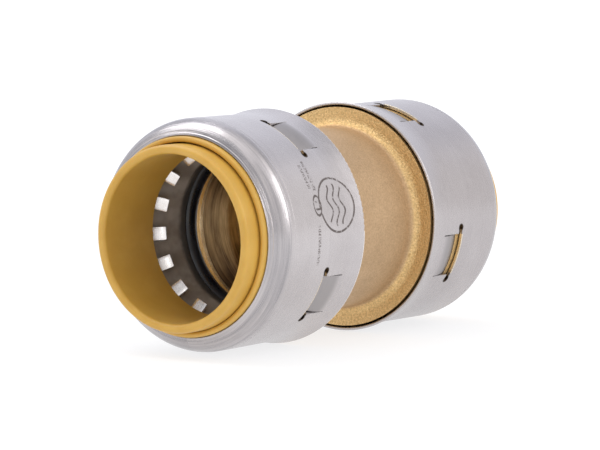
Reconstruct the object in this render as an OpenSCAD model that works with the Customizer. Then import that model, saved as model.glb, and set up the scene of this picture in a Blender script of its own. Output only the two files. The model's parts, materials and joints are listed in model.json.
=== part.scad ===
// Push fit coupling: joins two tubes of one size end to end.
// The axis of the coupling is X and the origin is the middle of the tube stop.
// End A faces -X, end B faces +X. Lengths along the axis are distances from the middle.

/* [Tube and sockets] */
// Outside diameter of the tube the coupling takes
tube_d = 22.22; // [12:0.01:36]
// Radial clearance of the tube in the brass socket
socket_gap = 0.09; // [0.05:0.01:0.2]
// Height of the tube stop above the tube's outside surface line
stop_h = 1.16; // [0.8:0.02:1.6]
// Half the length of the tube stop
stop_half = 0.8; // [0.5:0.05:1.4]
// Length of the lead-in cone between the seal seat and the socket
lead_len = 0.6; // [0.4:0.02:1]
// Radial height of the lead-in cone
lead_h = 0.6; // [0.3:0.05:0.9]

/* [Brass body] */
// Half the distance between the two flange faces
barrel_half = 8.3; // [5:0.05:16]
// Wall of the barrel outside the socket
barrel_wall = 1.4; // [1:0.05:1.9]
// Radius of the cast fillet between the barrel and each flange
fillet_r = 1.4; // [0.8:0.05:1.6]
// Axial wall between a flange face and the seal seat
seat_wall = 1.41; // [1:0.01:2]
// Height of the flange edge above the land under the cap
flange_rise = 0.35; // [0.1:0.01:0.42]
// Axial length of the cylindrical edge of the flange
flange_edge = 0.5; // [0.3:0.05:0.7]
// Wall left between the seal guard and the retaining groove
groove_wall = 0.87; // [0.6:0.01:1.4]
// Depth of the retaining groove below the land
groove_depth = 0.63; // [0.5:0.01:0.8]
// Radial clearance of the land inside the steel cap
land_gap = 0.12; // [0.06:0.01:0.2]

/* [Steel caps] */
// Thickness of the pressed steel sheet
cap_t = 0.43; // [0.34:0.01:0.54]
// How far the open rim flares out above the waist of the cap
rim_flare = 0.55; // [0.3:0.01:0.62]
// Length of the flare
flare_len = 4.6; // [3.5:0.1:5.6]
// How far the cap's rim stands back from the flange face
rim_back = 0.11; // [0:0.01:0.3]
// How far the cap swells from its waist to its shoulder
cap_swell = 0.08; // [0:0.01:0.16]
// Outside radius of the rolled nose
nose_round = 3.38; // [2.7:0.02:4.2]
// Number of retaining windows around each cap
windows = 4; // [3:1:5]
// Angle of the windows of the cap at end A
window_turn_a = 31.7; // [0:0.1:90]
// Angle of the windows of the cap at end B
window_turn_b = 19.2; // [0:0.1:90]
// Distance from the seal seat to the line where a tongue bends
hinge_in = 2.04; // [1.7:0.01:2.5]
// Length of a tongue
tongue_len = 3.5; // [2.8:0.05:4.4]
// Angle that a tongue covers around the cap
tongue_arc = 22; // [16:0.5:28]
// How far the free edge of a tongue is pushed in
tongue_drop = 0.62; // [0.5:0.01:0.68]
// Width of the slit in front of a tongue
slit_w = 0.85; // [0.6:0.05:1.1]
// How far the slit runs past the tongue on each side, in degrees
slit_over = 3.6; // [2:0.1:6]
// Gap between a tongue and the sides of its window
tongue_gap = 0.12; // [0.06:0.01:0.3]

/* [Seals] */
// Section diameter of the O-ring
oring_d = 2.4; // [1.9:0.02:2.9]
// How far the O-ring stands inside the tube's outside surface line
oring_squeeze = 0.4; // [0.3:0.01:0.6]
// How far the O-ring is pressed into the bottom of its seat
oring_press = 0.02; // [0.01:0.01:0.04]
// Radial distance from the collar's outside out to the guard's seat
guard_rim = 1.01; // [0.8:0.01:1.3]
// Length of the seal guard
guard_len = 5.96; // [4.9:0.01:7.2]
// How far the front of the guard stands back from the face of the body
guard_back = 0.6; // [0.5:0.01:0.9]
// Radial gap between the tube and the bore of the guard
guard_gap = 0.9; // [0.7:0.02:1.1]
// Height of the lip at the inner end of the guard
lip_h = 0.62; // [0.3:0.01:0.75]
// Length of that lip
lip_len = 1.5; // [1:0.05:2]

/* [Grip rings] */
// Number of teeth
teeth = 18; // [14:1:21]
// Angle of the first tooth from the top
teeth_turn = 5.2; // [0:0.1:25]
// Width of a tooth
tooth_w = 1.79; // [1.3:0.01:2.2]
// Angle of a tooth from the flat of the ring
tooth_tilt = 24; // [20:0.5:29]
// Thickness of the spring steel
grip_t = 0.4; // [0.3:0.01:0.5]
// How far the teeth reach inside the tube's outside surface line
tooth_bite = 0.21; // [0.1:0.01:0.35]
// Distance from the collar's outside out to the root of the teeth
root_out = 1.1; // [0.9:0.01:1.2]

/* [Release collars] */
// Radial clearance of the tube in the collar
collar_gap = 0.13; // [0.08:0.01:0.25]
// Wall of the collar
collar_wall = 1.25; // [1:0.01:1.5]
// How far the collar stands out of the guide ring
collar_out = 2.67; // [2.2:0.01:4]
// How far the collar can be pushed in
collar_travel = 1.76; // [1.4:0.02:1.9]
// Height of the flange that keeps the collar in
keeper_h = 1; // [0.7:0.01:1.2]
// Length of that flange
keeper_t = 1; // [0.7:0.05:1.3]
// How far the inner end of the collar stands off the face of the grip ring
collar_off = 0.5; // [0:0.01:0.6]
// How far the loose collar hangs below the axis; it stays under the clearance in its guide
collar_sag = 0.08; // [0:0.01:0.09]
// Size of the bevel on the inner end of the collar
nose_bevel = 0.7; // [0.5:0.01:0.85]

/* [Guide rings] */
// Radial clearance between the collar and the guide ring
slide_gap = 0.1; // [0.1:0.01:0.14]
// Wall of the part of the guide ring that shows in the mouth of the cap
spigot_wall = 0.77; // [0.6:0.01:0.95]
// How far the guide ring stands out of the mouth of the cap
spigot_out = 0.74; // [0.5:0.01:1.2]
// Radial gap between the guide ring and the mouth of the cap
mouth_gap = 0.1; // [0.05:0.01:0.2]
// Length of solid guide ring in front of the collar's flange
guide_web = 1.08; // [0.8:0.02:1.5]

/* [Hidden] */
// clearance between parts that seat on each other
seat_gap = 0.02;
// spare stroke between the collar's flange and the grip ring
stroke_spare = 0.69;
tube_r = tube_d / 2;
socket_r = tube_r + socket_gap;
stop_r = tube_r - stop_h;
barrel_r = socket_r + barrel_wall;
oring_in_r = tube_r - oring_squeeze;
oring_mid_r = oring_in_r + oring_d / 2;
seat_r = oring_in_r + oring_d - oring_press;
collar_bore_r = tube_r + collar_gap;
collar_r = collar_bore_r + collar_wall;
root_r = collar_r + root_out;
guard_seat_r = collar_r + guard_rim;
groove_r = guard_seat_r + groove_wall;
land_r = groove_r + groove_depth;
flange_r = land_r + flange_rise;
cap_in_r = land_r + land_gap;
waist_r = cap_in_r + cap_t;
shoulder_r = waist_r + cap_swell;
// radius of the arc that makes the flare
flare_arc = (flare_len * flare_len + rim_flare * rim_flare) / (2 * rim_flare);
// angle of that arc, as far as the middle of the rounded rim
flare_turn = asin((flare_len - cap_t / 2) / (flare_arc + cap_t / 2));
guide_bore_r = collar_r + slide_gap;
spigot_r = guide_bore_r + spigot_wall;
mouth_r = spigot_r + mouth_gap;
keeper_r = collar_r + keeper_h;
pocket_r = keeper_r + 0.15;
guide_r = cap_in_r - 0.06;
grip_out_r = land_r + 0.02;
tip_r = tube_r - tooth_bite;
guard_out_r = guard_seat_r - 0.05;
guard_front_r = guard_seat_r - 0.35;
guard_bore_r = tube_r + guard_gap;

// stations along the axis, from the middle outwards
seat_s = barrel_half + seat_wall;
socket_s = seat_s - lead_len;
guard_s = seat_s + oring_d + 2 * seat_gap;
guard_back_s = guard_s + seat_gap;
guard_front_s = guard_back_s + guard_len;
face_s = guard_front_s + guard_back;
grip_s = face_s + seat_gap;
grip_front_s = grip_s + grip_t;
guide_s = grip_front_s + seat_gap;
keeper_s = grip_front_s + collar_travel + stroke_spare;
pocket_s = keeper_s + keeper_t + seat_gap;
nose_s = pocket_s + guide_web;
nose_c = shoulder_r - nose_round;
mouth_s = nose_s + sqrt(nose_round * nose_round - (mouth_r - nose_c) * (mouth_r - nose_c));
spigot_s = mouth_s + spigot_out;
collar_nose_s = grip_front_s + collar_off;
collar_rim_s = spigot_s + collar_out;
rim_s = barrel_half + rim_back;
waist_s = rim_s + flare_len;
hinge_s = seat_s + hinge_in;
tongue_s = hinge_s + tongue_len;
// radius of the cap at the hinge line, and of the bend that drops the tongue's free edge
hinge_r = waist_r + pow(max(0, waist_s - hinge_s), 2) / (2 * flare_arc);
tongue_bend = (tongue_len * tongue_len + tongue_drop * tongue_drop) / (2 * tongue_drop);
slit_s = tongue_s + 0.05;
groove_s = hinge_s - 0.15;
groove_end_s = tongue_s + 0.07;
tooth_run = (root_r - tip_r) / cos(tooth_tilt);

brass = [0.76, 0.6, 0.33];
steel = [0.76, 0.76, 0.79];
spring_steel = [0.84, 0.84, 0.85];
yellow = [0.87, 0.66, 0.2];
dark_grey = [0.3, 0.28, 0.27];
rubber = [0.05, 0.05, 0.06];

$fn = 96;

// Places a piece drawn along +Z at end A. Angles run from the top towards the front.
module at_end_a() {
    rotate([0, -90, 0])
        mirror([0, 1, 0])
            children();
}

// Places a piece drawn along +Z at end B. Angles run from the top towards the front.
module at_end_b() {
    rotate([0, 90, 0])
        rotate([0, 0, 180])
            children();
}

// A solid turned about Z from an outline of [radius, station] points
module turned(points) {
    rotate_extrude()
        polygon(points);
}

// ---- brass body ----

module body_outline() {
    difference() {
        polygon([
            [stop_r, 0],
            [barrel_r, 0],
            [barrel_r, barrel_half - fillet_r],
            [barrel_r + fillet_r, barrel_half],
            [flange_r, barrel_half],
            [flange_r, barrel_half + flange_edge],
            [land_r, barrel_half + flange_edge + 1.2],
            [land_r, groove_s],
            [groove_r, groove_s],
            [groove_r, groove_end_s],
            [land_r, groove_end_s],
            [land_r, face_s - 0.25],
            [land_r - 0.25, face_s],
            [guard_seat_r + 0.25, face_s],
            [guard_seat_r, face_s - 0.25],
            [guard_seat_r, guard_s],
            [seat_r, guard_s],
            [seat_r, seat_s],
            [socket_r + lead_h, seat_s],
            [socket_r, socket_s],
            [socket_r, stop_half],
            [stop_r + 0.2, stop_half],
            [stop_r, stop_half - 0.2]
        ]);
        translate([barrel_r + fillet_r, barrel_half - fillet_r])
            circle(r = fillet_r);
    }
}

module body() {
    color(brass)
        at_end_b()
            rotate_extrude() {
                body_outline();
                mirror([0, 1])
                    body_outline();
            }
}

// ---- steel caps ----

// the flare: a band between two arcs that opens towards the rim, with a half-round edge there
module flare_band() {
    translate([waist_r + flare_arc, waist_s]) {
        intersection() {
            difference() {
                circle(r = flare_arc + cap_t);
                circle(r = flare_arc);
            }
            polygon([
                [0, 0],
                [-2 * flare_arc, 0],
                [-2 * flare_arc, -2 * flare_arc * tan(flare_turn)]
            ]);
        }
        rotate(flare_turn)
            translate([-flare_arc - cap_t / 2, 0])
                circle(r = cap_t / 2);
    }
}

// the rolled nose: a quarter band that ends at the mouth
module nose_band() {
    intersection() {
        difference() {
            translate([nose_c, nose_s])
                circle(r = nose_round);
            translate([nose_c, nose_s])
                circle(r = nose_round - cap_t);
        }
        translate([mouth_r, nose_s])
            square([nose_round * 2, nose_round * 2]);
    }
}

module cap_shell() {
    rotate_extrude() {
        flare_band();
        polygon([
            [cap_in_r, waist_s],
            [waist_r, waist_s],
            [shoulder_r, nose_s],
            [shoulder_r - cap_t, nose_s]
        ]);
        nose_band();
    }
}

// a block of the given angle, radii and stations, centred on the +X direction
module sector(arc, r0, r1, s0, s1) {
    rotate([0, 0, -arc / 2])
        rotate_extrude(angle = arc)
            translate([r0, s0])
                square([r1 - r0, s1 - s0]);
}

module window_cut() {
    side = tongue_gap / waist_r * 180 / PI;
    mid = slit_s + slit_w / 2;
    sector(tongue_arc + 2 * side, cap_in_r - 1, shoulder_r + 1, hinge_s, mid);
    sector(tongue_arc + 2 * slit_over, cap_in_r - 1, shoulder_r + 1, slit_s, slit_s + slit_w);
    for (end = [-1, 1])
        rotate([0, 0, end * (tongue_arc / 2 + slit_over)])
            translate([cap_in_r - 1, 0, mid])
                rotate([0, 90, 0])
                    cylinder(h = cap_t + cap_swell + 2, r = slit_w / 2, $fn = 48);
}

// a tongue curves in from the sheet along one arc, down to its free edge in the groove
module tongue() {
    rotate([0, 0, -tongue_arc / 2])
        rotate_extrude(angle = tongue_arc)
            intersection() {
                difference() {
                    translate([hinge_r - tongue_bend, hinge_s])
                        circle(r = tongue_bend);
                    translate([hinge_r - tongue_bend, hinge_s])
                        circle(r = tongue_bend - cap_t);
                }
                translate([groove_r, hinge_s - 0.2])
                    square([hinge_r - groove_r + 1, tongue_len + 0.2]);
            }
}

module cap(turn) {
    difference() {
        cap_shell();
        for (i = [0 : windows - 1])
            rotate([0, 0, turn + i * 360 / windows])
                window_cut();
    }
    for (i = [0 : windows - 1])
        rotate([0, 0, turn + i * 360 / windows])
            tongue();
}

module cap_a() {
    color(steel)
        at_end_a()
            cap(window_turn_a);
}

module cap_b() {
    color(steel)
        at_end_b()
            cap(window_turn_b);
}

// ---- guide rings ----

module guide_ring() {
    half_wall = spigot_wall / 2;
    head_c = spigot_s - half_wall;
    rotate_extrude() {
        // the sleeve inside the cap, with the pocket for the collar's flange
        polygon([
            [pocket_r, guide_s],
            [guide_r, guide_s],
            [guide_r, nose_s],
            [guide_bore_r, nose_s],
            [guide_bore_r, pocket_s],
            [pocket_r, pocket_s]
        ]);
        // the shoulder behind the rolled nose
        intersection() {
            translate([nose_c, nose_s])
                circle(r = nose_round - cap_t - 0.1);
            translate([guide_bore_r, nose_s - 0.1])
                square([guide_r - guide_bore_r, nose_round]);
        }
        // the rounded end that shows in the mouth
        translate([guide_bore_r, nose_s])
            square([spigot_wall, head_c - nose_s]);
        translate([guide_bore_r + half_wall, head_c])
            circle(r = half_wall);
    }
}

module guide_ring_a() {
    color(yellow)
        at_end_a()
            guide_ring();
}

module guide_ring_b() {
    color(yellow)
        at_end_b()
            guide_ring();
}

// ---- release collars ----

module release_collar() {
    half_wall = collar_wall / 2;
    head_c = collar_rim_s - half_wall;
    translate([-collar_sag, 0, 0])
        rotate_extrude() {
            polygon([
                [collar_bore_r, collar_nose_s],
                [collar_r - nose_bevel, collar_nose_s],
                [collar_r, collar_nose_s + nose_bevel],
                [collar_r, keeper_s],
                [keeper_r - 0.15, keeper_s],
                [keeper_r, keeper_s + 0.15],
                [keeper_r, keeper_s + keeper_t],
                [collar_r, keeper_s + keeper_t],
                [collar_r, head_c],
                [collar_bore_r, head_c]
            ]);
            translate([collar_bore_r + half_wall, head_c])
                circle(r = half_wall);
        }
}

module release_collar_a() {
    color(yellow)
        at_end_a()
            release_collar();
}

module release_collar_b() {
    color(yellow)
        at_end_b()
            release_collar();
}

// ---- grip rings ----

// the cone that the teeth are cut from
module tooth_cone() {
    along = [cos(tooth_tilt), sin(tooth_tilt)] * tooth_run;
    across = [sin(tooth_tilt), -cos(tooth_tilt)] * grip_t;
    root = [root_r, grip_front_s];
    turned([
        root,
        root - along,
        root - along + across,
        root + across,
        [root_r + 0.3, grip_s],
        [root_r + 0.3, grip_front_s]
    ]);
}

module grip_ring() {
    turned([
        [root_r + 0.2, grip_s],
        [grip_out_r, grip_s],
        [grip_out_r, grip_front_s],
        [root_r + 0.2, grip_front_s]
    ]);
    intersection() {
        tooth_cone();
        for (i = [0 : teeth - 1])
            rotate([0, 0, teeth_turn + i * 360 / teeth])
                translate([tip_r - 2, -tooth_w / 2, grip_s - 4])
                    cube([root_r - tip_r + 4, tooth_w, 8]);
    }
}

module grip_ring_a() {
    color(spring_steel)
        at_end_a()
            grip_ring();
}

module grip_ring_b() {
    color(spring_steel)
        at_end_b()
            grip_ring();
}

// ---- seal guards ----

module seal_guard() {
    turned([
        [guard_bore_r - lip_h, guard_back_s],
        [guard_out_r, guard_back_s],
        [guard_out_r, guard_front_s],
        [guard_front_r, guard_front_s],
        [guard_front_r, guard_front_s - 0.15],
        [guard_bore_r, guard_front_s - 2.6],
        [guard_bore_r - lip_h, guard_back_s + lip_len]
    ]);
}

module seal_guard_a() {
    color(dark_grey)
        at_end_a()
            seal_guard();
}

module seal_guard_b() {
    color(dark_grey)
        at_end_b()
            seal_guard();
}

// ---- O-rings ----

module oring() {
    translate([0, 0, seat_s + seat_gap + oring_d / 2])
        rotate_extrude()
            translate([oring_mid_r, 0])
                circle(r = oring_d / 2);
}

module oring_a() {
    color(rubber)
        at_end_a()
            oring();
}

module oring_b() {
    color(rubber)
        at_end_b()
            oring();
}

body();
cap_a();
cap_b();
guide_ring_a();
guide_ring_b();
release_collar_a();
release_collar_b();
grip_ring_a();
grip_ring_b();
seal_guard_a();
seal_guard_b();
oring_a();
oring_b();
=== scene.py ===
import bpy
import bmesh
import json
import math
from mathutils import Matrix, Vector


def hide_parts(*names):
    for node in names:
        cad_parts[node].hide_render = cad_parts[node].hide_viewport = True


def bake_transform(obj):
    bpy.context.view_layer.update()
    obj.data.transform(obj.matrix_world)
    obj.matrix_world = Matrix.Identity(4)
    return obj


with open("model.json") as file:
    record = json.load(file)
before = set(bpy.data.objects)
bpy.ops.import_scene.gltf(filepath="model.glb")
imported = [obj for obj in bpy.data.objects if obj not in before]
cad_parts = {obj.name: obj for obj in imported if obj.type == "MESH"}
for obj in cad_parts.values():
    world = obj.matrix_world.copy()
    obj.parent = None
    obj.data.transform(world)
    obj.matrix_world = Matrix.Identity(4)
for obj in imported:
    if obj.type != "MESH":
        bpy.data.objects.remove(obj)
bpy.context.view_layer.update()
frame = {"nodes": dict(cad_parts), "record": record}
nodes = frame["nodes"]
mm = 0.001
degreesPerRadian = math.degrees(1)


# one socket of the shader, so that maths reads as maths
class Wire:
    def __init__(self, finish, socket):
        self.finish = finish
        self.socket = socket

    def maths(self, operation, *values, clamp=False):
        return self.finish.maths(operation, *values, clamp=clamp)

    def __add__(self, other):
        return self.maths("ADD", self, other)

    def __radd__(self, other):
        return self.maths("ADD", other, self)

    def __sub__(self, other):
        return self.maths("SUBTRACT", self, other)

    def __rsub__(self, other):
        return self.maths("SUBTRACT", other, self)

    def __mul__(self, other):
        return self.maths("MULTIPLY", self, other)

    def __rmul__(self, other):
        return self.maths("MULTIPLY", other, self)

    def __truediv__(self, other):
        return self.maths("DIVIDE", self, other)

    def __rtruediv__(self, other):
        return self.maths("DIVIDE", other, self)

    def __abs__(self):
        return self.maths("ABSOLUTE", self)

    def power(self, exponent):
        return self.maths("POWER", self, exponent)

    def capped(self):
        return self.maths("MULTIPLY", self, 1, clamp=True)

    # 0 below low, 1 above high, smooth between
    def ease(self, low, high):
        settings = {"interpolation_type": "SMOOTHSTEP"}
        return self.finish.node("ShaderNodeMapRange", settings, {0: self, 1: low, 2: high})

    # 1 between low and high, fading over soft outside them
    def band(self, low, high, soft):
        return self.ease(low - soft, low) * (1 - self.ease(high, high + soft))


# the nodes of one material or of the studio's light
class Shading:
    def __init__(self, tree):
        self.tree = tree
        self.tree.nodes.clear()

    def node(self, kind, settings=None, sockets=None, out=0):
        made = self.tree.nodes.new(kind)
        for key, value in (settings or {}).items():
            setattr(made, key, value)
        for key, value in (sockets or {}).items():
            socket = made.inputs[key]
            if isinstance(value, Wire):
                self.tree.links.new(value.socket, socket)
            else:
                socket.default_value = value
        return Wire(self, made.outputs[out])

    def maths(self, operation, *values, clamp=False):
        settings = {"operation": operation, "use_clamp": clamp}
        return self.node("ShaderNodeMath", settings, dict(enumerate(values)))

    def join(self, x, y, z):
        return self.node("ShaderNodeCombineXYZ", {}, {0: x, 1: y, 2: z})

    # the colour sockets of a Mix node are its inputs 6 and 7 and its output 2
    def mix(self, factor, first, second):
        sockets = {0: factor, 6: colour(first), 7: colour(second)}
        return self.node("ShaderNodeMix", {"data_type": "RGBA"}, sockets, 2)


# one material: a Principled shader and the places on the coupling in millimetres
class Finish(Shading):
    # unrollAt is the radius at which lengths round the axis are true
    def __init__(self, name, shader, unrollAt=1):
        self.material = bpy.data.materials.new(name)
        self.material.use_nodes = True
        super().__init__(self.material.node_tree)
        self.shader = self.tree.nodes.new("ShaderNodeBsdfPrincipled")
        surface = self.tree.nodes.new("ShaderNodeOutputMaterial")
        self.tree.links.new(self.shader.outputs[0], surface.inputs["Surface"])
        for socketName, value in shader.items():
            self.shader.inputs[socketName].default_value = value
        metres = self.node("ShaderNodeTexCoord", {}, {}, "Object")
        scaling = {"operation": "SCALE"}
        self.place = self.node("ShaderNodeVectorMath", scaling, {0: metres, "Scale": 1 / mm})
        parts = [self.node("ShaderNodeSeparateXYZ", {}, {0: self.place}, axis) for axis in "XYZ"]
        self.x, self.y, self.z = parts
        self.along = abs(self.x)
        self.radius = (self.y * self.y + self.z * self.z).power(0.5)
        # degrees round the axis, from the top towards -Y
        self.turn = self.maths("ARCTAN2", 0 - self.y, self.z) * degreesPerRadian
        self.unrollAt = unrollAt

    # where a place lies when unrolled from the axis, stretched along it, round it and outwards
    def unrolled(self, stretch, radius=None):
        along, around, outwards = stretch
        perDegree = (radius or self.unrollAt) / degreesPerRadian
        return self.join(self.x * along, self.turn * (perDegree * around), self.radius * outwards)

    def noise(self, scale=1.0, detail=3, roughness=0.55, stretch=None, place=None):
        place = self.unrolled(stretch) if stretch else place or self.place
        sockets = {"Vector": place, "Scale": scale, "Detail": detail, "Roughness": roughness}
        return self.node("ShaderNodeTexNoise", {}, sockets)

    def cells(self, scale, stretch):
        sockets = {"Vector": self.unrolled(stretch), "Scale": scale}
        return self.node("ShaderNodeTexVoronoi", {}, sockets, "Distance")

    # height in millimetres
    def bump(self, height, below=None):
        sockets = {"Height": height, "Distance": mm, "Strength": 1.0}
        if below is not None:
            sockets["Normal"] = below
        return self.node("ShaderNodeBump", {}, sockets)

    def feed(self, **wires):
        names = {
            "base": "Base Color",
            "rough": "Roughness",
            "metal": "Metallic",
            "normal": "Normal",
            "glow": "Emission Color",
        }
        for key, wire in wires.items():
            self.tree.links.new(wire.socket, self.shader.inputs[names[key]])


def colour(value):
    return value if isinstance(value, Wire) or len(value) == 4 else (*value, 1)


# stainless caps: satin sheet, spun bright at the rolled nose, laser marks between the windows of end a
capSteel = {
    "light": (0.568, 0.537, 0.542),
    "dull": (0.45, 0.42, 0.425),
    "mark": (0.085, 0.066, 0.058),
    "streak": (0.275, 0.268, 0.285),
    # painted highlight along the rim, strong on cap a and faint on cap b
    "paintedHighlight": (0.93, 0.91, 0.91),
    # painted shade on the tongues
    "pressed": (0.27, 0.255, 0.255),
    # painted shade in the holes at the slit ends
    "hole": (0.07, 0.055, 0.045),
    # painted highlight on each slit's cut edge
    "cutEdgeHighlight": (0.86, 0.74, 0.55),
    # painted shade: cap b's sheet is painted darker than cap a's
    "tone": {"a": 0.12, "b": -0.45},
    "rimHighlight": {"a": 0.85, "b": 0.12},
    "satin": 0.27,  # roughness of the band
    "bright": 0.2,  # and of the nose
    "sheetRadius": 15.8,
    "edgeRadius": 0.2,
    # places in mm along the axis from the middle, and the lip's from the axis
    "rim": 8.41,
    "hinge": 11.75,
    "tongueEnd": 15.28,
    "slitMiddle": 15.72,
    "slitEnd": 16.15,
    "noseStart": 24.0,
    "lip": 13.46,
    "holeRadius": 0.5,
    # degrees round the axis: one window every pitch, the first of them at windows
    "windows": {"a": 31.7, "b": 19.2},
    "pitch": 90,
    "tongueHalf": 11.0,
    "slitHalf": 14.6,
    # patterns in the sheet
    "cloud": {"scale": 0.16, "detail": 2},
    "wear": {"scale": 0.9, "detail": 4},
    "grain": {"scale": 5, "stretch": (1, 0.3, 1)},
    "turned": {"detail": 4, "roughness": 0.65, "stretch": (2.6, 0.05, 2.6)},
    "brushed": {"roughness": 0.6, "stretch": (6, 0.16, 6)},
    "bands": {"detail": 2, "stretch": (1.1, 0.02, 1.1)},
    "scratches": {"scale": 0.55, "stretch": (1, 3.2, 0.2)},
    "scratchHalf": 0.035,
}


def makeCapSteel(name, end):
    s = capSteel
    steel = Finish(name, {"Metallic": 1.0, "IOR": 2.5}, s["sheetRadius"])
    cloud = steel.noise(**s["cloud"])
    wear = steel.noise(**s["wear"])
    grain = steel.noise(**s["grain"])
    turned = steel.noise(**s["turned"])
    brushed = steel.noise(**s["brushed"])
    scratches = steel.cells(**s["scratches"]).ease(0.0, s["scratchHalf"])
    nose = steel.along.ease(s["noseStart"] - 0.5, s["noseStart"] + 0.9)
    # painted shade: the per-end tone paints cap b darker than cap a
    tone = cloud * 0.85 + wear * 0.4 + (grain - 0.5) * 0.2 + (brushed - 0.5) * 0.35 + s["tone"][end]
    base = steel.mix(tone.capped(), s["dull"], s["light"])
    streaks = (1 - turned.ease(0.36, 0.52)) * 0.7 + (1 - brushed.ease(0.36, 0.5)) * 0.3
    base = steel.mix(streaks * (0.08 + nose * 0.45), base, s["streak"])
    # broad spun bands on the nose, and a painted highlight along the rim
    bands = 1 - steel.noise(**s["bands"]).ease(0.42, 0.56)
    base = steel.mix(bands * nose * 0.35, base, s["streak"])
    rim = 1 - steel.along.ease(s["rim"] + 0.2, s["rim"] + 0.32)
    base = steel.mix(rim * s["rimHighlight"][end], base, s["paintedHighlight"])
    rough = s["satin"] + (wear - 0.5) * 0.12 + (grain - 0.5) * 0.1
    rough = rough - nose * (s["satin"] - s["bright"]) + (1 - scratches) * 0.1 + streaks * nose * 0.1
    pressed, cutEdgeHighlight, paintedHoleShade = findWindows(steel, end)
    # painted shade on the tongues, growing towards their free edge
    base = steel.mix(pressed * 0.6, base, s["pressed"])
    # painted highlight: a warm bright line along each slit's cut edge
    base = steel.mix(cutEdgeHighlight, base, s["cutEdgeHighlight"])
    # painted shade: the holes at the slit ends are painted near black
    base = steel.mix(paintedHoleShade, base, s["hole"])
    rough = rough + pressed * 0.12
    # the nose starts at a faint rolled crease, and the sheet rolls over to a thin lip round the mouth
    crease = steel.along.band(s["noseStart"] - 0.28, s["noseStart"] - 0.2, 0.22)
    lip = steel.radius.band(s["lip"] + 0.42, s["lip"] + 0.56, 0.14) * nose
    height = grain * 0.0025 + turned * (0.006 + nose * 0.045) + brushed * (0.0025 + nose * 0.006)
    height = height + scratches * 0.003 - crease * 0.03 - lip * 0.05
    if end == "a":
        marks = makeMarks(steel)
        base = steel.mix(marks * 0.85, base, s["mark"])
        rough = rough + marks * 0.25
        height = height - marks * 0.006
    edges = steel.node("ShaderNodeBevel", {"samples": 4}, {"Radius": s["edgeRadius"] * mm})
    steel.feed(base=base, rough=rough, normal=steel.bump(height, edges))
    return steel.material


# round the windows: painted shade on the stamped-in tongues, which are also rougher, growing towards their
# free edge, a painted highlight on the cut edge above them, and painted shade in the holes where each slit
# was punched through at its two ends
def findWindows(steel, end):
    s = capSteel
    pitches = (steel.turn - s["windows"][end] + s["pitch"] / 2) / s["pitch"]
    offCentre = abs(pitches - steel.maths("FLOOR", pitches) - 0.5) * s["pitch"]
    inWindow = 1 - offCentre.ease(s["tongueHalf"] - 0.15, s["tongueHalf"] + 0.15)
    pastHinge = steel.along.ease(s["hinge"] - 0.2, s["hinge"] + 1.4)
    pressed = inWindow * pastHinge * (1 - steel.along.ease(s["tongueEnd"], s["tongueEnd"] + 0.05))
    cutEdgeHighlight = inWindow * steel.along.band(s["slitEnd"] - 0.05, s["slitEnd"] + 0.1, 0.05)
    aside = (offCentre - s["slitHalf"]) * (s["sheetRadius"] / degreesPerRadian)
    ahead = steel.along - s["slitMiddle"]
    fromHole = (aside * aside + ahead * ahead).power(0.5)
    paintedHoleShade = 1 - fromHole.ease(s["holeRadius"], s["holeRadius"] + 0.12)
    return pressed, cutEdgeHighlight, paintedHoleShade


# plain laser marks: a ring badge with three waves, a small oval stamp with two bars and rows of worn dashes
laserMarks = {
    "radius": 15.6,
    "badge": {"along": 13.7, "turn": 74.5, "size": 3.9},
    "ring": (0.915, 0.98),  # shares of the badge's size
    "waves": (-1.35, 0.0, 1.35),
    "waveHeight": 0.42,
    "waveTurn": 1.9,  # radians per mm round the cap
    "stamp": {"along": 17.9, "turn": 74.0, "size": 1.15},
    "stampStretch": (1.7, 0.62),
    "bars": 0.5,  # from the stamp's middle to each bar
    "rows": ((17.6, 50.5, 66.5), (18.6, 52.5, 65.0), (18.2, 84.0, 103.0)),  # along, first and last degree
    "dashes": (2.6, 4.6, 0),
}


def makeMarks(steel):
    s = laserMarks

    def fromMark(mark):
        ahead = steel.along - mark["along"]
        return ahead, (steel.turn - mark["turn"]) * (s["radius"] / degreesPerRadian), mark["size"]

    ahead, aside, size = fromMark(s["badge"])
    far = (ahead * ahead + aside * aside).power(0.5)
    ring = far.band(size * s["ring"][0], size * s["ring"][1], 0.05)
    swing = steel.maths("SINE", aside * s["waveTurn"]) * s["waveHeight"]
    lines = [1 - abs(ahead - shift + swing).ease(0.13, 0.2) for shift in s["waves"]]
    waves = sum(lines) * (1 - far.ease(size * 0.72, size * 0.76))
    ahead, aside, size = fromMark(s["stamp"])
    short, long = s["stampStretch"]
    oval = (ahead * ahead * short + aside * aside * long).power(0.5)
    edge = oval.band(size * 0.82, size, 0.06)
    bars = (1 - abs(abs(aside) - s["bars"]).ease(0.1, 0.17)) * (1 - oval.ease(size * 0.6, size * 0.66))
    dashes = steel.noise(detail=1, place=steel.unrolled(s["dashes"], s["radius"])).ease(0.47, 0.54)
    total = ring + waves + edge + bars
    for along, first, last in s["rows"]:
        line = (1 - abs(steel.along - along).ease(0.26, 0.34)) * steel.turn.band(first, last, 0.4)
        total = total + line * dashes * 0.8
    worn = steel.noise(2.2).ease(0.25, 0.5)
    return (total * worn).capped()


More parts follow.
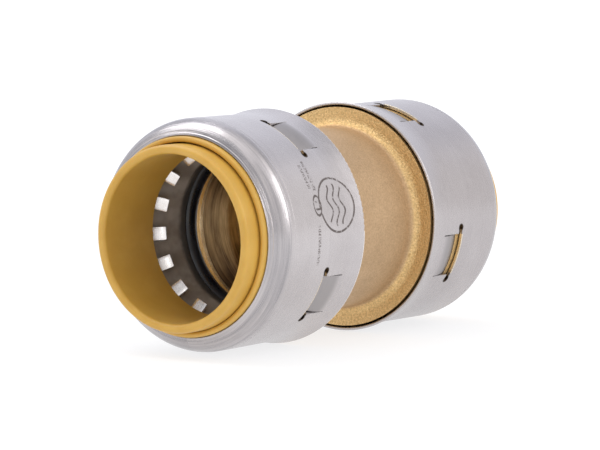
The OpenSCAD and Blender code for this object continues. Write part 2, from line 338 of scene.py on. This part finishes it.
# brass body: sand-cast barrel, rough bright shoulders, turned sockets
bodyBrass = {
    "barrel": (0.60, 0.415, 0.245),
    "barrelDark": (0.40, 0.27, 0.15),
    "shoulder": (0.90, 0.63, 0.30),
    "shoulderDark": (0.56, 0.375, 0.165),
    "glint": (1.0, 0.85, 0.52),
    "socket": (0.13, 0.074, 0.028),
    "socketLight": (0.78, 0.56, 0.29),
    "leadIn": (1.0, 0.82, 0.52),
    # painted shade in the grooves
    "groove": (0.06, 0.04, 0.02),
    "castRough": 0.5,
    "turnedRough": 0.32,
    "metal": 0.95,
    # radii in mm, then places in mm along the axis from the middle
    "socketRadius": 11.2,
    "boreEdge": 11.9,
    "barrelRadius": 12.6,
    "grooveFloor": 14.5,
    "leadInStart": 8.45,
    "grooveStart": 11.3,
    # patterns
    "sand": {"scale": 3.6, "detail": 4, "roughness": 0.72},
    "fine": {"scale": 7, "detail": 2},
    "cloud": {"scale": 0.28},
    "turned": {"detail": 5, "roughness": 0.65, "stretch": (3.2, 0.06, 2)},
    "stain": {"scale": 0.4, "stretch": (1.6, 0.5, 1)},
}


def makeBrass():
    s = bodyBrass
    brass = Finish("cast brass", {"IOR": 1.6}, s["socketRadius"])
    sand = brass.noise(**s["sand"])
    fine = brass.noise(**s["fine"])
    cloud = brass.noise(**s["cloud"])
    turned = brass.noise(**s["turned"])
    stain = brass.noise(**s["stain"])
    outside = brass.radius.ease(s["boreEdge"], s["boreEdge"] + 0.1)
    shoulder = brass.radius.ease(s["barrelRadius"] + 0.05, s["barrelRadius"] + 0.5)
    grit = sand.ease(0.32, 0.68)
    glints = fine.ease(0.56, 0.7)
    barrelBase = brass.mix((cloud * 0.8 + grit * 0.6 - 0.2).capped(), s["barrelDark"], s["barrel"])
    shoulderBase = brass.mix(grit, s["shoulderDark"], s["shoulder"])
    shoulderBase = brass.mix(glints * 0.6, shoulderBase, s["glint"])
    outer = brass.mix(shoulder, barrelBase, shoulderBase)
    # painted shade: the floor of each groove is painted near black
    nearFloor = brass.radius.band(s["barrelRadius"] + 1.2, s["grooveFloor"], 0.1)
    paintedGrooveShade = nearFloor * brass.along.ease(s["grooveStart"], s["grooveStart"] + 0.2)
    outer = brass.mix(paintedGrooveShade, outer, s["groove"])
    # painted highlight and shade: the turned socket is painted brightest along its middle and darker above
    # and below it
    paintedHighlight = 1 - abs(brass.z).ease(1.0, 8.5)
    streaksAndPaintedHighlight = turned * 1.2 + stain * 1.3 + paintedHighlight * 0.5 - 1.2
    inner = brass.mix(streaksAndPaintedHighlight.capped(), s["socket"], s["socketLight"])
    inBore = 1 - brass.radius.ease(s["boreEdge"] - 0.05, s["boreEdge"] + 0.1)
    leadIn = brass.along.ease(s["leadInStart"], s["leadInStart"] + 0.15) * inBore
    inner = brass.mix(leadIn, inner, s["leadIn"])
    base = brass.mix(outside, inner, outer)
    castRough = s["castRough"] - (grit - 0.5) * 0.12 - shoulder * 0.14 - glints * shoulder * 0.14
    turnedRough = s["turnedRough"] + (turned - 0.5) * 0.2 - leadIn * 0.1
    rough = turnedRough + outside * (castRough - turnedRough)
    metal = s["metal"] - outside * (1 - shoulder) * 0.35
    cast = (sand * 0.11 + fine * 0.035) * (0.7 + shoulder * 0.5)
    height = outside * cast + (1 - outside) * turned * 0.03
    brass.feed(base=base, rough=rough, metal=metal, normal=brass.bump(height))
    return brass.material


# moulded acetal, golden yellow
yellowPlastic = {
    "colour": (0.62, 0.372, 0.072),
    "deep": (0.57, 0.33, 0.056),
    "rough": 0.4,
    "radius": 12,
    "shader": {
        "IOR": 1.48,
        "Subsurface Weight": 0.12,
        "Subsurface Scale": 0.0012,
        "Subsurface Radius": (1, 0.45, 0.12),
    },
    "cloud": {"scale": 0.3},
    "orange": {"scale": 3.2},
    "lines": {"stretch": (6, 0.12, 3)},
    "scuffs": {"scale": 0.4, "stretch": (1, 2.8, 0.3)},
    "scuffHalf": 0.03,
}


def makeYellow():
    s = yellowPlastic
    plastic = Finish("golden acetal", s["shader"], s["radius"])
    cloud = plastic.noise(**s["cloud"])
    orange = plastic.noise(**s["orange"])
    lines = plastic.noise(**s["lines"])
    scuffs = plastic.cells(**s["scuffs"]).ease(0.0, s["scuffHalf"])
    base = plastic.mix(cloud.ease(0.3, 0.75), s["deep"], s["colour"])
    rough = s["rough"] + (cloud - 0.5) * 0.16 + (orange - 0.5) * 0.08 + (1 - scuffs) * 0.15
    height = orange * 0.01 + lines * 0.012 + scuffs * 0.004
    plastic.feed(base=base, rough=rough, normal=plastic.bump(height))
    return plastic.material


# warm grey guard between the teeth and the O-ring
guardPlastic = {
    "colour": (0.27, 0.235, 0.205),
    "light": (0.44, 0.40, 0.365),
    "greaseAndShade": (0.035, 0.037, 0.045),
    "rough": 0.45,
    "radius": 12,
    "greaseAndShadeEnd": (13.2, 14.3),  # mm along the axis from the middle
    "cloud": {"scale": 0.35},
    "pores": {"scale": 6},
    "lines": {"stretch": (5, 0.1, 3)},
}


def makeGuard():
    s = guardPlastic
    grey = Finish("grey guard", {"IOR": 1.5}, s["radius"])
    cloud = grey.noise(**s["cloud"])
    pores = grey.noise(**s["pores"])
    lines = grey.noise(**s["lines"])
    base = grey.mix(cloud.ease(0.3, 0.7), s["colour"], s["light"])
    # grease and painted shade: the guard is darkened next to the seal, at the deep end of the recess
    greaseAndShade = (1 - (grey.along + cloud * 0.6).ease(*s["greaseAndShadeEnd"])) * 0.9
    base = grey.mix(greaseAndShade, base, s["greaseAndShade"])
    rough = s["rough"] + (pores - 0.5) * 0.2 - greaseAndShade * 0.15
    grey.feed(base=base, rough=rough, normal=grey.bump(pores * 0.008 + lines * 0.012))
    return grey.material


# greased black seal
sealRubber = {
    "colour": (0.009, 0.010, 0.014),
    "smeared": (0.016, 0.018, 0.026),
    "grease": 0.24,  # roughness where greased
    "dry": 0.5,  # and where dry
    "radius": 12,
    "smear": {"scale": 0.6, "stretch": (1, 0.5, 1)},
    "pores": {"scale": 8, "detail": 2},
}


def makeRubber():
    s = sealRubber
    rubber = Finish("seal rubber", {"IOR": 1.5}, s["radius"])
    smear = rubber.noise(**s["smear"])
    pores = rubber.noise(**s["pores"])
    base = rubber.mix(smear.ease(0.3, 0.7), s["colour"], s["smeared"])
    rough = s["grease"] + smear.ease(0.4, 0.75) * (s["dry"] - s["grease"])
    rubber.feed(base=base, rough=rough, normal=rubber.bump(pores * 0.004))
    return rubber.material


# bright spring steel of the grip rings
springSteel = {
    "colour": (0.96, 0.93, 0.91),
    "dark": (0.82, 0.78, 0.75),
    "rough": 0.27,
    "cloud": {"scale": 0.5},
    "rolling": (2, 14, 1.2),  # stretch across the sheet's rolling lines
}


def makeSpring():
    s = springSteel
    spring = Finish("spring steel", {"Metallic": 1.0, "IOR": 2.5})
    cloud = spring.noise(**s["cloud"])
    across = [wire * stretch for wire, stretch in zip((spring.x, spring.y, spring.z), s["rolling"])]
    rolled = spring.noise(detail=4, place=spring.join(*across))
    base = spring.mix(cloud.ease(0.3, 0.7), s["dark"], s["colour"])
    rough = s["rough"] + (rolled - 0.5) * 0.16 + (cloud - 0.5) * 0.1
    spring.feed(base=base, rough=rough, normal=spring.bump(rolled * 0.004))
    return spring.material


finishes = {
    "brass": makeBrass(),
    "yellow_plastic": makeYellow(),
    "spring_steel": makeSpring(),
    "grey_plastic": makeGuard(),
    "seal_rubber": makeRubber(),
}
capFinishes = {"cap_a": makeCapSteel("cap steel a", "a"), "cap_b": makeCapSteel("cap steel b", "b")}
for subpart in frame["record"]["subparts"]:
    node = nodes[subpart["node"]]
    node.data.materials.clear()
    node.data.materials.append(capFinishes.get(subpart["node"]) or finishes[subpart["material_slot"]])
print("materials on", len(nodes), "nodes")


# grip ring: a flat ring of spring steel with a crown of teeth bent inwards and towards the middle
gripRing = {
    "teeth": 18,
    "rootRadius": 13.59,
    "outerRadius": 15.02,
    "tipRadius": 10.9,
    "rootTilt": 44.0,
    "tipTilt": 24.0,
    "toothWidth": 1.79,
    "thickness": 0.4,
    "face": 18.75,
    "firstTooth": 5.2,
    "bend": 0.25,
    "cornerCut": 0.04,
    "eased": 0.05,
    "sharp": 50,  # an edge is eased where its faces turn more than this
    "bendSteps": 4,
    "toothSteps": 6,
    "perTooth": 4,
    "perGap": 4,
}


# the tooth's centre line as radius, lean towards the middle and width: bent at the root, easing to the tip
def toothLine():
    s = gripRing
    radius = s["rootRadius"]
    lean = 0.0
    line = []
    for i in range(1, s["bendSteps"] + 1):
        bent = math.radians(s["rootTilt"]) * i / s["bendSteps"]
        radius = s["rootRadius"] - s["bend"] * math.sin(bent)
        lean = s["bend"] * (1 - math.cos(bent))
        line.append((radius, lean, s["toothWidth"]))
    drop = (radius - s["tipRadius"]) / s["toothSteps"]
    for i in range(s["toothSteps"]):
        tilt = s["rootTilt"] + (s["tipTilt"] - s["rootTilt"]) * (i + 0.5) / s["toothSteps"]
        radius -= drop
        lean += drop * math.tan(math.radians(tilt))
        line.append((radius, lean, s["toothWidth"]))
    line[-1] = (radius, lean, s["toothWidth"] - 2 * s["cornerCut"])
    return line


# the middle of the ring's sheet, without thickness
def makeRingSheet(mesh, side):
    s = gripRing
    pitch = 360 / s["teeth"]
    halfWidth = math.degrees(s["toothWidth"] / 2 / s["rootRadius"])
    gap = pitch - 2 * halfWidth

    def point(radius, turn, lean=0, across=0):
        angle = math.radians(turn)
        x = s["face"] + s["thickness"] / 2 - lean
        y = -radius * math.sin(angle) - across * math.cos(angle)
        z = radius * math.cos(angle) - across * math.sin(angle)
        return mesh.verts.new(Vector((side * x, y, z)) * mm)

    # degrees, tooth and step across the tooth of each point round the ring, with no tooth in the gaps
    stops = []
    for tooth in range(s["teeth"]):
        centre = s["firstTooth"] + tooth * pitch
        for i in range(s["perTooth"] + 1):
            stops.append((centre - halfWidth + 2 * halfWidth * i / s["perTooth"], tooth, i))
        for i in range(1, s["perGap"]):
            stops.append((centre + halfWidth + gap * i / s["perGap"], None, i))
    inner = [point(s["rootRadius"], turn) for turn, tooth, i in stops]
    outer = [point(s["outerRadius"], turn) for turn, tooth, i in stops]
    for i in range(len(stops)):
        j = (i + 1) % len(stops)
        mesh.faces.new((inner[i], inner[j], outer[j], outer[i]))
    roots = {(tooth, i): vertex for vertex, (turn, tooth, i) in zip(inner, stops)}
    for tooth in range(s["teeth"]):
        centre = s["firstTooth"] + tooth * pitch
        previous = [roots[tooth, i] for i in range(s["perTooth"] + 1)]
        for radius, lean, width in toothLine():
            shares = [i / s["perTooth"] - 0.5 for i in range(s["perTooth"] + 1)]
            row = [point(radius, centre, lean, share * width) for share in shares]
            for i in range(s["perTooth"]):
                mesh.faces.new((previous[i], previous[i + 1], row[i + 1], row[i]))
            previous = row
    bmesh.ops.recalc_face_normals(mesh, faces=mesh.faces)


def makeGripRing(name, side):
    s = gripRing
    mesh = bmesh.new()
    makeRingSheet(mesh, side)
    data = bpy.data.meshes.new(name)
    mesh.to_mesh(data)
    mesh.free()
    for polygon in data.polygons:
        polygon.use_smooth = True
    ring = bpy.data.objects.new(name, data)
    bpy.context.scene.collection.objects.link(ring)
    thick = ring.modifiers.new("sheet", "SOLIDIFY")
    thick.thickness = s["thickness"] * mm
    thick.offset = 0
    thick.use_even_offset = True
    eased = ring.modifiers.new("edges", "BEVEL")
    eased.width = s["eased"] * mm
    eased.segments = 2
    eased.limit_method = "ANGLE"
    eased.angle_limit = math.radians(s["sharp"])
    bpy.context.view_layer.objects.active = ring
    ring.select_set(True)
    for modifier in ("sheet", "edges"):
        bpy.ops.object.modifier_apply(modifier=modifier)
    ring.select_set(False)
    ring.data.materials.append(finishes["spring_steel"])
    return ring


ringA = makeGripRing("teeth_a", -1)
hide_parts("grip_ring_a")
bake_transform(ringA)
ringB = makeGripRing("teeth_b", 1)
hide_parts("grip_ring_b")
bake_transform(ringB)
print("grip rings made with", gripRing["teeth"], "teeth each")

# floor, lights and camera: az is the compass direction in the XY plane from +X, el the height above it
studio = {
    "eye": (-0.40376, -0.29056, 0.04812),
    "azimuth": -54.185,
    "elevation": 5.588,
    "lens": 217.1,
    "sensor": 36,
    "nearest": 0.01,
    "farthest": 50,
    "floor": -0.01606,
    "floorReach": 12.0,
    "paper": (0.26, 0.26, 0.26, 1),
    "glowNear": (0.73, 0.73, 0.735),
    "glowFar": (0.82, 0.82, 0.82),
    "glowReach": (60, 700),  # mm from the coupling
    "away": 0.6,
}


def direction(az, el):
    a = math.radians(az)
    e = math.radians(el)
    return Vector((math.cos(a) * math.cos(e), math.sin(a) * math.cos(e), math.sin(e)))


def makeFloor():
    s = studio
    reach = s["floorReach"]
    around = ((-reach, -reach), (reach, -reach), (reach, reach), (-reach, reach))
    data = bpy.data.meshes.new("floor")
    data.from_pydata([(x, y, s["floor"]) for x, y in around], [], [(0, 1, 2, 3)])
    floor = bpy.data.objects.new("floor", data)
    bpy.context.scene.collection.objects.link(floor)
    paper = Finish("white paper", {"Roughness": 0.95, "Base Color": s["paper"], "Emission Strength": 1.0})
    away = (paper.x * paper.x + paper.y * paper.y).power(0.5)
    paper.feed(glow=paper.mix(away.ease(*s["glowReach"]), s["glowNear"], s["glowFar"]))
    floor.data.materials.append(paper.material)


# a soft box seen from the coupling under az, el, with half its angles across and up, and its radiance
def addSoftBox(name, az, el, across, up, radiance):
    away = studio["away"]
    data = bpy.data.lights.new(name, "AREA")
    data.shape = "RECTANGLE"
    data.size = 2 * away * math.tan(math.radians(across))
    data.size_y = 2 * away * math.tan(math.radians(up))
    data.energy = radiance * math.pi * data.size * data.size_y
    light = bpy.data.objects.new(name, data)
    light.location = direction(az, el) * away
    light.rotation_euler = direction(az, el).to_track_quat("Z", "Y").to_euler()
    bpy.context.scene.collection.objects.link(light)


def makeCamera():
    s = studio
    data = bpy.data.cameras.new("camera")
    data.lens = s["lens"]
    data.sensor_width = s["sensor"]
    data.clip_start = s["nearest"]
    data.clip_end = s["farthest"]
    camera = bpy.data.objects.new("camera", data)
    back = direction(s["azimuth"] - 90, s["elevation"])  # at azimuth 0 the camera looks along +Y
    camera.location = s["eye"]
    camera.rotation_euler = back.to_track_quat("Z", "Y").to_euler()
    bpy.context.scene.collection.objects.link(camera)
    bpy.context.scene.camera = camera


# pale room with darker stretches of wall and a glow round each soft box
roomLight = {
    "pale": (1.0, 0.985, 0.985),
    "dark": (0.42, 0.43, 0.46),
    "cool": (0.99, 1.02, 1.14),
    # each patch as az, el, outer and inner angle, amount
    "walls": (
        (158, 43, 27, 14, 1.0),
        (-174, 36, 17, 8, 0.6),
        (-150, -20, 60, 20, 0.3),
        (-6, 54, 24, 8, 0.45),
        (64, 22, 27, 12, 0.35),
    ),
    "glows": (
        (-76, 13, 22, 6, 0.4),
        (-78, 46, 24, 6, 0.6),
        (106, 60, 26, 14, 0.75),
        (170, 77, 34, 10, 0.45),
        (-178, 7, 13, 5, 0.6),
    ),
    "coolWalls": ((35, 28, 60, 15, 0.8),),
}


def makeRoom():
    s = roomLight
    world = bpy.data.worlds.new("studio")
    bpy.context.scene.world = world
    world.use_nodes = True
    room = Shading(world.node_tree)
    look = room.node("ShaderNodeTexCoord", {}, {}, "Generated")

    def patch(az, el, outer, inner, amount):
        towards = {"operation": "DOT_PRODUCT"}
        facing = room.node("ShaderNodeVectorMath", towards, {0: look, 1: direction(az, el)}, "Value")
        return facing.ease(math.cos(math.radians(outer)), math.cos(math.radians(inner))) * amount

    def patches(rows):
        return sum(patch(*row) for row in rows)

    tone = room.mix(patches(s["coolWalls"]).capped(), s["pale"], s["cool"])
    tone = room.mix(patches(s["walls"]).capped(), tone, s["dark"])
    sky = room.node("ShaderNodeBackground", {}, {"Color": tone, "Strength": patches(s["glows"]) + 1})
    out = room.tree.nodes.new("ShaderNodeOutputWorld")
    room.tree.links.new(sky.socket, out.inputs["Surface"])


makeFloor()
makeRoom()
addSoftBox("side box", -76, 29, 10, 18, 1.7)
addSoftBox("top box", 100, 56, 14, 20, 1.6)
addSoftBox("front card", -174, 8, 7, 7, 2.1)
makeCamera()
bpy.context.scene.view_settings.view_transform = "Standard"
print("studio ready")
